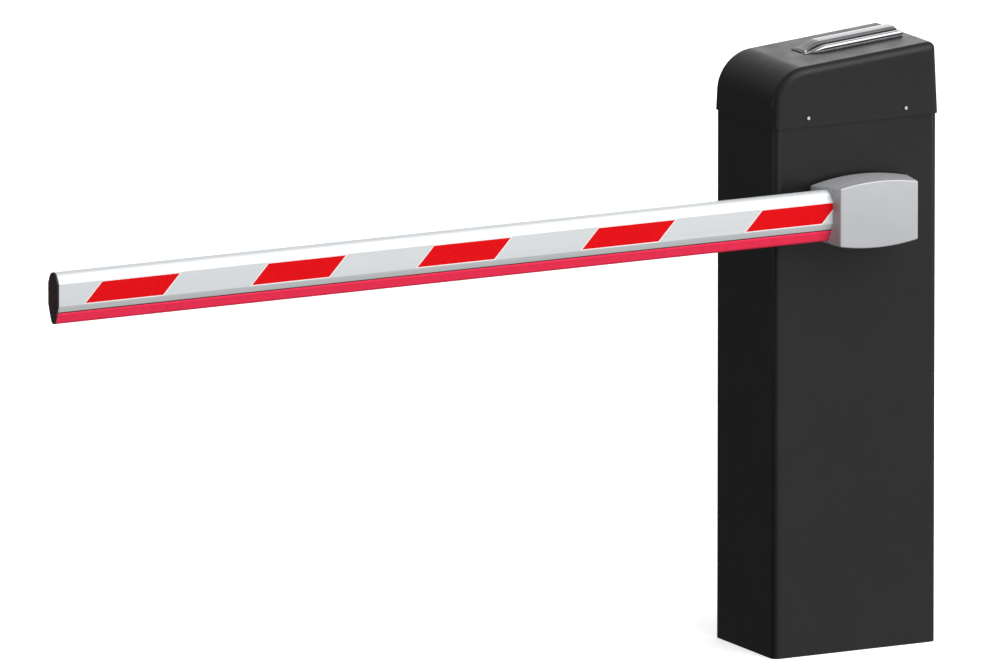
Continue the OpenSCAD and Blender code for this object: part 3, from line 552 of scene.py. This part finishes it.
def make_end_cap():
    """Glossy plate over the boom's end, its rim rolled over."""
    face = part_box("boom_end_cap")[0].x
    roll = [(BOOM_LOW.x, 0.0), (face + 1.2 * MM, 0.0), (face + 0.5 * MM, 0.012),
            (face + 0.12 * MM, 0.04), (face, 0.085)]
    cap = new_object("end_plate", *run_along_boom(whole_outline(), roll))
    round_sharp(cap, 0.0002)
    paint(cap, MATERIALS["black_plastic"])
    stand_in(cap, "boom", "boom_end_cap")


def slanted_plate(x, y0, y1, z0, z1, length, lean, inset):
    """A parallelogram plate, its rim moved inwards by inset."""
    rise = (z1 - z0) - 2 * inset
    shift = lean * inset / (z1 - z0)
    reach = inset * math.hypot(1, lean / (z1 - z0))
    left = x + shift + reach
    corners = [(left, z0 + inset), (x + shift + length - reach, z0 + inset),
               (x + shift + length - reach + lean * rise / (z1 - z0), z1 - inset),
               (left + lean * rise / (z1 - z0), z1 - inset)]
    return loft([[Vector((cx, y, cz)) for cx, cz in corners] for y in (y0, y1)])


def make_stickers():
    """White film with a red field on it, five to a side."""
    lean, length, count, border = 35.8 * MM, 153.4 * MM, 5, 1.8 * MM
    white_share = 0.7
    pitch = (FILM_HIGH.x - FILM_LOW.x - lean - length) / (count - 1)
    film = BOOM_LOW.y - FILM_LOW.y
    white, red = [], []
    for i in range(count):
        x = FILM_LOW.x + i * pitch
        for side in (-1, 1):
            start = BOOM_Y + side * HALF_T
            seam = start + side * film * white_share
            size = (FILM_LOW.z, FILM_HIGH.z, length, lean)
            white.append(slanted_plate(x, start, seam, *size, 0.0))
            red.append(slanted_plate(x, seam, start + side * film, *size, border))
    films = new_object("sticker_borders", *merged(white), smooth=False)
    paint(films, WHITE_FILM)
    stand_in(films, "boom", "boom_stickers")
    fields = new_object("sticker_fields", *merged(red), smooth=False)
    paint(fields, MATERIALS["sticker_film"])
    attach(fields, "boom")


# ---------------------------------------------------------------- boom holder

HOLDER_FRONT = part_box("holder_cover")[0].y
SEAM_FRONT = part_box("holder_cover")[1].y
SEAM_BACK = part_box("holder_body")[0].y
HOLDER_BACK = -117.8 * MM
HOLDER_HALF_Z = 58.5 * MM
HOLDER_ARC = 389 * MM
HOLDER_HALF_X, HOLDER_FLARE = 76 * MM, 20 * MM
HOLDER_RIM = 2.6 * MM
WELL_R, WELL_DEPTH, WELL_X, WELL_Z = 4.6 * MM, 8 * MM, 48 * MM, 50 * MM
HUB_R, HUB_BORE = 30 * MM, 15.1 * MM
OPENING_X, OPENING_GAP = (-130 * MM, 60 * MM), 0.5 * MM


def holder_ring(y):
    """Outline of the holder at one depth: bowed top and bottom, and wider to the back."""
    share = (y - HOLDER_FRONT) / (HOLDER_BACK - HOLDER_FRONT)
    half = HOLDER_HALF_X + HOLDER_FLARE * share
    steps = 32
    top = []
    for k in range(steps + 1):
        x = -half + 2 * half * k / steps
        top.append((x, HOLDER_HALF_Z - HOLDER_ARC + math.sqrt(HOLDER_ARC ** 2 - x * x)))
    return ([Vector((x, y, SHAFT_Z + z)) for x, z in top]
            + [Vector((x, y, SHAFT_Z - z)) for x, z in reversed(top)]), steps


def holder_block(name, y0, y1, round0, round1):
    """Part of the holder from y0 to y1, its rims rounded by their own widths."""
    ring0, steps = holder_ring(y0)
    ring1 = holder_ring(y1)[0]
    block = new_object(name, *loft([ring0, ring1]))
    count = len(ring0)
    corners = {0, steps, steps + 1, count - 1}
    weights = block.data.attributes.new("bevel_weight_edge", "FLOAT", "EDGE")
    for edge in block.data.edges:
        a, b = sorted(edge.vertices)
        if b < count:
            weights.data[edge.index].value = round0 / HOLDER_RIM
        elif a >= count:
            weights.data[edge.index].value = round1 / HOLDER_RIM
        elif a in corners:
            weights.data[edge.index].value = 1.0
    rounding = block.modifiers.new("rims", "BEVEL")
    rounding.width = HOLDER_RIM
    rounding.segments = 5
    rounding.limit_method = "WEIGHT"
    rounding.harden_normals = False
    return block


def make_holder():
    """Front and rear castings round the boom's end, and the hub on the shaft."""
    seam = 0.35 * MM
    cover = holder_block("holder_front_casting", HOLDER_FRONT, SEAM_FRONT, HOLDER_RIM, seam)
    body = holder_block("holder_rear_casting", SEAM_BACK, HOLDER_BACK, seam, 1.5 * MM)
    opening = run_along_boom(whole_outline(OPENING_GAP), [(x, 0.0) for x in OPENING_X])
    well = [(WELL_R, 0.0), (WELL_R, WELL_DEPTH + 2 * MM)]
    holes = [lathe(well, (x, HOLDER_BACK - WELL_DEPTH, SHAFT_Z + z), "Y", 32)
             for x in (-WELL_X, WELL_X) for z in (-WELL_Z, WELL_Z)]
    carve(body, new_object("opening", *opening))
    carve(body, new_object("screw_wells", *merged(holes)))
    for piece, node in ((cover, "holder_cover"), (body, "holder_body")):
        for face in piece.data.polygons:
            face.use_smooth = True
        round_sharp(piece, 0.0006, 2, 38)
        paint(piece, MATERIALS["cast"])
        stand_in(piece, "boom", node)
    hub = new_object("holder_hub", *ring_lathe(HUB_R, HUB_BORE, HOLDER_BACK - 1 * MM,
                                               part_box("holder_body")[1].y, (0, 0, SHAFT_Z)))
    round_sharp(hub, 0.001)
    paint(hub, MATERIALS["cast"])
    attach(hub, "boom")


def ring_lathe(outer, inner, y0, y1, origin, steps=64):
    """Points and faces of a plain ring about a line along Y."""
    rings = []
    for radius, y in ((inner, y0), (outer, y0), (outer, y1), (inner, y1)):
        turns = [2 * math.pi * k / steps for k in range(steps)]
        rings.append([Vector((origin[0] + radius * math.cos(a), y, origin[2] + radius * math.sin(a)))
                      for a in turns])
    verts, faces = loft(rings, closed=False)
    last = len(rings) - 1
    for i in range(steps):
        j = (i + 1) % steps
        faces.append([last * steps + i, last * steps + j, j, i])
    return verts, faces


# ---------------------------------------------------------------- hood and handle

HOOD_LOW, HOOD_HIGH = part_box("hood")
HOOD_MID = 1042.4 * MM
HOOD_SLOPE, HOOD_DRAFT = 5.0, 2.0
SLOPE = math.tan(math.radians(HOOD_SLOPE))
HOOD_RIM, HOOD_SHEET = 14 * MM, 1.9 * MM
ARC_R, CORNER_R = 70 * MM, 12 * MM
LEAN_AT_RIM, LEAN_MOST, LEAN_RATE = 3.4 * MM, 3.9 * MM, 0.0344


def normal_at(degrees):
    return Vector((math.cos(math.radians(degrees)), math.sin(math.radians(degrees))))


def hood_corner(radius, x, start, end, inset, steps):
    """Rounded corner of the hood's outline that keeps touching both of its lines when inset."""
    level = HOOD_MID + x * SLOPE - radius / math.cos(math.radians(HOOD_SLOPE))
    first, last = normal_at(start), normal_at(end)
    kept = max(radius - inset, 0.6 * MM)
    back = kept - (radius - inset)
    centre = Vector((x, level)) - (first + last) * (back / (1 + first.dot(last)))
    return arc(centre.x, centre.y, kept, start, end, steps)


def wall_foot(point, normal):
    """Where the wall through a point meets the hood's lower edge."""
    z = HOOD_LOW.z
    return Vector((point.x - (z - point.y) * normal.y / normal.x, z))


def hood_outline(inset):
    """Left foot, large arc, sloping top, small arc and right foot, moved inwards."""
    top = 90 + HOOD_SLOPE
    left = hood_corner(ARC_R, HOOD_LOW.x + ARC_R + 1.2 * MM, 180 - HOOD_DRAFT, top, inset, 28)
    right = hood_corner(CORNER_R, HOOD_HIGH.x - CORNER_R - 4 * MM, top, HOOD_DRAFT, inset, 10)
    return ([wall_foot(left[0], normal_at(180 - HOOD_DRAFT))] + left + right
            + [wall_foot(right[-1], normal_at(HOOD_DRAFT))])


def hood_lean(x, z):
    """How far the front and back lean inwards, growing towards the top."""
    under = HOOD_MID + x * SLOPE - z
    return min(LEAN_MOST, max(0.0, LEAN_AT_RIM - (under - HOOD_RIM) * LEAN_RATE))


def make_hood():
    """Folded cover whose rim is rounded along the arc, the top and both upright corners."""
    half, steps = HOOD_HIGH.y, 9
    turns = [math.pi / 2 * k / steps for k in range(steps + 1)]
    quarter = [(half - HOOD_RIM + HOOD_RIM * math.sin(a), HOOD_RIM * (1 - math.cos(a))) for a in turns]
    stations = [(y, inset, 1) for y, inset in reversed(quarter)] + [(y, inset, -1) for y, inset in quarter]
    rings = [[Vector((p.x, side * (y - hood_lean(p.x, p.y)), p.y)) for p in hood_outline(inset)]
             for y, inset, side in stations]
    count = len(rings[0])
    verts = [p for ring in rings for p in ring]
    faces = [[k * count + i, k * count + i + 1, (k + 1) * count + i + 1, (k + 1) * count + i]
             for k in range(len(rings) - 1) for i in range(count - 1)]
    faces += [list(range(count))[::-1], [(len(rings) - 1) * count + i for i in range(count)]]
    hood = new_object("hood_cover", verts, faces)
    sheet = hood.modifiers.new("sheet", "SOLIDIFY")
    sheet.thickness, sheet.offset = HOOD_SHEET, -1.0
    even = hood.modifiers.new("even", "WEIGHTED_NORMAL")
    even.keep_sharp = True
    paint(hood, MATERIALS["coat"])
    stand_in(hood, "cabinet", "hood")


HANDLE_RISE, HANDLE_ROUND, HANDLE_TIP = 40 * MM, 5 * MM, 8 * MM
GROOVE_FRONT, GROOVE_BACK, GROOVE_TOP = -17.2 * MM, -9.0 * MM, 10.2 * MM


def handle_section():
    """Section from the front foot over the narrow rail, the groove and the broad band to the rear foot."""
    corners = [(-29.6, 0, 0), (-29.6, 0.6, 0.2), (-29.0, 0.9, 0.2), (-26.0, 1.1, 0.3), (-28.6, 5.2, 1.2),
               (-26.4, 9.0, 3.0), (-17.5, 9.2, 1.8), (-16.6, 2.6, 0.6), (-9.6, 2.6, 0.6),
               (-9.2, 10.4, 1.6), (-2, 12.6, 8), (10, 13.5, 14), (22, 12.9, 10), (31, 6.4, 5), (31, 0, 0)]
    return filleted([(y * MM, h * MM, r * MM) for y, h, r in corners], 6)


def base_height(x):
    """Height of the hood's sloping top under the handle."""
    return HOOD_MID + x * SLOPE + 0.05 * MM


def handle_rise(x, low, high):
    """Share of the full height: a long swept rise at the left, a tight round end at the right."""
    rise = min(1.0, (x - low) / HANDLE_RISE)
    rise = 0.10 + 0.90 * rise * rise * (3 - 2 * rise)
    end = max(0.0, 1 - (high - x) / (4.5 * MM))
    return rise * (1 - 0.36 * (1 - math.sqrt(max(0.0, 1 - end * end))))


def handle_stations(start, stop):
    """Places along the handle: close together on the rise and at the round end."""
    risen, turned = start + HANDLE_RISE, stop - HANDLE_ROUND
    return ([start + HANDLE_RISE * k / 32 for k in range(33)]
            + [risen + (turned - risen) * k / 10 for k in range(1, 11)]
            + [turned + HANDLE_ROUND * math.sin(math.pi / 2 * k / 10) for k in range(1, 11)])


def make_handle():
    """Chrome handle with painted shade and reflections: black faces in its groove and under its rail paint
    the shade there, and black faces at its tip and both ends paint dark reflections.
    """
    low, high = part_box("hood_handle")
    centre_y = (low.y + high.y) / 2
    start, stop = low.x + 0.5 * MM, high.x - 0.7 * MM
    section = handle_section()
    rings = []
    for x in handle_stations(start, stop):
        share = handle_rise(x, start, stop)
        narrow = 1 - 0.12 * max(0.0, 1 - (x - start) / (30 * MM)) ** 2
        base = base_height(x)
        rings.append([Vector((x, centre_y + p.x * narrow, base + p.y * share)) for p in section])
    handle = new_object("chrome_handle", *loft(rings))
    paint(handle, MATERIALS["chrome"], MATERIALS["black_plastic"])
    for face in handle.data.polygons:
        away = face.center.y - centre_y
        painted_shade_under_rail = face.normal.z < -0.25 and face.normal.y < -0.4
        painted_shade_in_groove = (GROOVE_FRONT < away < GROOVE_BACK and abs(face.normal.x) < 0.5
                     and face.center.z < base_height(face.center.x) + GROOVE_TOP)
        is_end = len(face.vertices) > 4
        painted_reflection_at_tip = face.center.x < start + HANDLE_TIP and away > GROOVE_FRONT
        # Black faces stand in for shade in the groove and under the rail, and for dark reflections at the
        # tip and on both end faces.
        face.material_index = int(painted_shade_under_rail or painted_shade_in_groove or is_end or painted_reflection_at_tip)
        face.use_smooth = not is_end
    stand_in(handle, "cabinet", "hood_handle")


# ---------------------------------------------------------------- drive train

SPRING_END, SPRING_WIRE, SPRING_COILS = 12 * MM, 2.1 * MM, 44
WORM_MODULE, WORM_TURNS = 2.4 * MM, 6
WORM_JOURNAL, WORM_CORE, WORM_THREAD = 6 * MM, 11.5 * MM, 2.2 * MM


def make_spring():
    """Coil with its two end loops, built at a single length, though the spring shortens as the boom rises.
    """
    low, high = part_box("balance_spring")
    centre = (low + high) / 2
    wire, coils, per_turn = SPRING_WIRE, SPRING_COILS, 20
    radius = (high.x - low.x) / 2 - wire
    body_low, body_high = low.z + SPRING_END, high.z - SPRING_END
    points = []
    for k in range(coils * per_turn + 1):
        a = 2 * math.pi * k / per_turn
        z = body_low + (body_high - body_low) * k / (coils * per_turn)
        points.append(Vector((centre.x + radius * math.cos(a), centre.y + radius * math.sin(a), z)))
    for end, z in ((0, low.z + wire), (1, high.z - wire)):
        first = points[0] if end == 0 else points[-1]
        hook = []
        for k in range(1, 11):
            t = k / 10
            reach = radius * (1 - t)
            along = first.z + (z - first.z) * math.sin(t * math.pi / 2)
            hook.append(Vector((centre.x + reach, centre.y, along)))
        points = hook[::-1] + points if end == 0 else points + hook
    coil = new_object("balance_coil", *tube(points, wire, 8))
    paint(coil, MATERIALS["spring"])
    stand_in(coil, "cabinet", "balance_spring")
    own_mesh(coil)


def make_worm():
    """Fine thread on the worm: an eccentric circle turned up its axis."""
    low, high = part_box("worm")
    centre = (low + high) / 2
    pitch = math.pi * WORM_MODULE
    z0 = SHAFT_Z - WORM_TURNS / 2 * pitch
    sides, steps = 48, 24 * WORM_TURNS
    journal = WORM_JOURNAL - 0.02 * MM
    parts = [lathe([(journal, 0.0), (journal, high.z - low.z)], (centre.x, centre.y, low.z), "Z", sides)]
    skin = []
    for k in range(steps + 1):
        z = WORM_TURNS * pitch * k / steps
        turn = -2 * math.pi * z / pitch
        ring = []
        for s in range(sides):
            a = 2 * math.pi * s / sides
            away = a - turn
            lift = WORM_THREAD * math.cos(away)
            r = lift + math.sqrt(WORM_CORE ** 2 - (WORM_THREAD * math.sin(away)) ** 2)
            ring.append(Vector((centre.x + r * math.cos(a), centre.y + r * math.sin(a), z0 + z)))
        skin.append(ring)
    parts.append(loft(skin))
    worm = new_object("worm_thread", *merged(parts))
    round_sharp(worm, 0.0003, 2)
    paint(worm, MATERIALS["steel"])
    stand_in(worm, "worm_train", "worm")


def smooth_line(points, steps=8):
    """Catmull-Rom points through a list, in metres."""
    pts = [Vector(p) * MM for p in points]
    out = []
    for i in range(len(pts) - 1):
        a, b = pts[max(i - 1, 0)], pts[i]
        c, d = pts[i + 1], pts[min(i + 2, len(pts) - 1)]
        for k in range(steps):
            u = k / steps
            out.append(0.5 * (2 * b + (c - a) * u + (2 * a - 5 * b + 4 * c - d) * u * u
                              + (3 * b - a - 3 * c + d) * u ** 3))
    out.append(pts[-1])
    return out


MOTOR_LEAD = [(-62, 17, 600), (-62, 34, 598), (-70, 44, 580), (-92, 36, 560), (-112, 12, 556),
              (-126, -14, 552), (-125, -36, 549), (-112, -46, 548), (-100, -48, 546.5),
              (-100, -48, 540)]
SENSOR_LEAD = [(-23, 45, 792), (-23, 46, 775), (-30, 48, 740), (-60, 48, 690), (-98, 40, 650),
               (-130, 10, 610), (-138, -30, 584), (-120, -44, 560), (-64, -44, 554), (-60, -44, 540)]
SUPPLY_LEAD = [(-40, -47, 222), (-40, -47, 216), (-46, -43.5, 211), (-52, -40, 207), (-52, -40, 200)]


def make_wiring():
    """The three leads inside the cabinet."""
    leads = [tube(smooth_line(MOTOR_LEAD), 3.9 * MM, 16), tube(smooth_line(SENSOR_LEAD), 2.4 * MM, 12),
             tube(smooth_line(SUPPLY_LEAD), 2.9 * MM, 12)]
    wiring = new_object("inner_leads", *merged(leads))
    paint(wiring, MATERIALS["black_rubber"])
    stand_in(wiring, "cabinet", "wiring_harness")


# ---------------------------------------------------------------- carried-over nodes

SOFT_EDGES = {
    "cabinet_shell": (0.0005, 2),
    "service_door": (0.0008, 2), "gearbox_housing": (0.002, 3), "gearbox_cover": (0.002, 3),
    "control_box": (0.0015, 3), "control_lid": (0.001, 3), "circuit_breaker": (0.001, 2),
    "spring_lever": (0.0012, 3), "motor_end_shield": (0.0015, 3), "power_supply": (0.0008, 2),
}


def finish_cad_nodes():
    for name, obj in frame["nodes"].items():
        paint_cad(obj, MATERIALS[SLOT_OF[name]])
        if not obj.hide_render:
            width, segments = SOFT_EDGES.get(name, (0.0004, 2))
            soften(obj, width, segments)


def paint_cad(obj, material):
    if obj.material_slots:
        for slot in obj.material_slots:
            slot.material = material
    else:
        obj.data.materials.append(material)


# ---------------------------------------------------------------- studio

AZIMUTH = math.radians(-28.12)
ELEVATION = math.radians(11.77)
PICTURE_WIDTH = 1.7227
LENS, SENSOR = 1150.0, 36.0
CORNER_RIGHT, CORNER_BELOW = 0.4713, 0.5578
FLOOR_HALF = 60.0


def make_camera():
    """A long lens far away, which is how the picture shows the gate."""
    back = Vector((math.sin(AZIMUTH) * math.cos(ELEVATION), -math.cos(AZIMUTH) * math.cos(ELEVATION),
                   math.sin(ELEVATION)))
    right = Vector((math.cos(AZIMUTH), math.sin(AZIMUTH), 0))
    up = back.cross(right)
    # The cabinet's near lower corner lies this far right of and below the picture's centre
    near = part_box("cabinet_shell")[0]
    aim = Vector((near.x, near.y, 0.0)) - right * CORNER_RIGHT + up * CORNER_BELOW
    data = bpy.data.cameras.new("camera")
    data.lens, data.sensor_width = LENS, SENSOR
    data.clip_start, data.clip_end = 1.0, 200.0
    cam = bpy.data.objects.new("camera", data)
    cam.location = aim + back * (PICTURE_WIDTH * LENS / SENSOR)
    cam.rotation_mode = "QUATERNION"
    cam.rotation_quaternion = (-back).to_track_quat("-Z", "Y")
    SCENE.collection.objects.link(cam)
    SCENE.camera = cam


def make_floor():
    """A pale ground that neither lights the gate nor shows in its gloss."""
    s = Surface("pale_floor", Specular_IOR_Level=0.1, Emission_Strength=0.5,
                Emission_Color=(1.0, 1.0, 1.0, 1.0))
    s.colour(s.blend(s.remap(s.noise(1.5, 3.0), 0.0, 1.0), (0.90, 0.90, 0.90), (0.92, 0.92, 0.92)))
    s.roughness(s.remap(s.noise(3.0, 3.0), 0.85, 0.95))
    half = FLOOR_HALF
    floor = new_object("floor", [(-half, -half, 0), (half, -half, 0), (half, half, 0), (-half, half, 0)],
                       [[0, 1, 2, 3]], smooth=False)
    floor.location.z = -0.0002
    floor.visible_glossy = False
    floor.visible_diffuse = False
    paint(floor, s.material)


def area_light(name, location, target, size, power):
    data = bpy.data.lights.new(name, "AREA")
    data.shape = "DISK"
    data.size, data.energy = size, power
    lamp = bpy.data.objects.new(name, data)
    lamp.location = location
    lamp.rotation_mode = "QUATERNION"
    lamp.rotation_quaternion = (Vector(target) - Vector(location)).to_track_quat("-Z", "Y")
    SCENE.collection.objects.link(lamp)


# Soft lights far away: direction, dot product where each begins, and its strength
FAR_LIGHTS = [
    ((0.50, -0.86, 0.10), 0.0, 0.96),
    ((0.42, 0.86, 0.28), 0.80, 0.52),
    ((0.22, -0.52, 0.83), 0.81, 1.80),
    ((-0.95, 0.29, 0.08), 0.975, 2.60),
]


def smooth_range(tree, value, low, high, to_low, to_high):
    made = tree.nodes.new("ShaderNodeMapRange")
    made.interpolation_type = "SMOOTHSTEP"
    tree.links.new(value, made.inputs["Value"])
    for socket, number in (("From Min", low), ("From Max", high), ("To Min", to_low), ("To Max", to_high)):
        made.inputs[socket].default_value = number
    return made.outputs[0]


def make_world():
    """A dim dome with four soft lights: front right, low behind, high in front and left."""
    world = bpy.data.worlds.new("studio")
    world.use_nodes = True
    tree = world.node_tree
    place = tree.nodes.new("ShaderNodeTexCoord").outputs["Generated"]
    split = tree.nodes.new("ShaderNodeSeparateXYZ")
    tree.links.new(place, split.inputs[0])
    total = smooth_range(tree, split.outputs["Z"], -0.05, 0.6, 0.13, 0.46)
    for direction, begin, strength in FAR_LIGHTS:
        side = tree.nodes.new("ShaderNodeVectorMath")
        side.operation = "DOT_PRODUCT"
        tree.links.new(place, side.inputs[0])
        side.inputs[1].default_value = Vector(direction).normalized()
        added = tree.nodes.new("ShaderNodeMath")
        added.operation = "ADD"
        tree.links.new(total, added.inputs[0])
        tree.links.new(smooth_range(tree, side.outputs["Value"], begin, 1.0, 0.0, strength),
                       added.inputs[1])
        total = added.outputs[0]
    sky = tree.nodes["Background"]
    tree.links.new(total, sky.inputs["Strength"])
    sky.inputs["Color"].default_value = (1.0, 1.0, 1.0, 1.0)
    SCENE.world = world


def make_lights():
    make_world()
    area_light("key", (2.2, -3.4, 3.2), (-0.3, 0, 0.6), 4.0, 92)
    area_light("rim", (1.62, 1.95, 1.72), (0.15, 0, 1.04), 1.6, 6.5)
    SCENE.view_settings.view_transform = "Standard"


make_camera()
make_floor()
make_lights()
make_boom()
make_end_cap()
make_stickers()
make_holder()
make_hood()
make_handle()
make_spring()
make_worm()
make_wiring()
finish_cad_nodes()
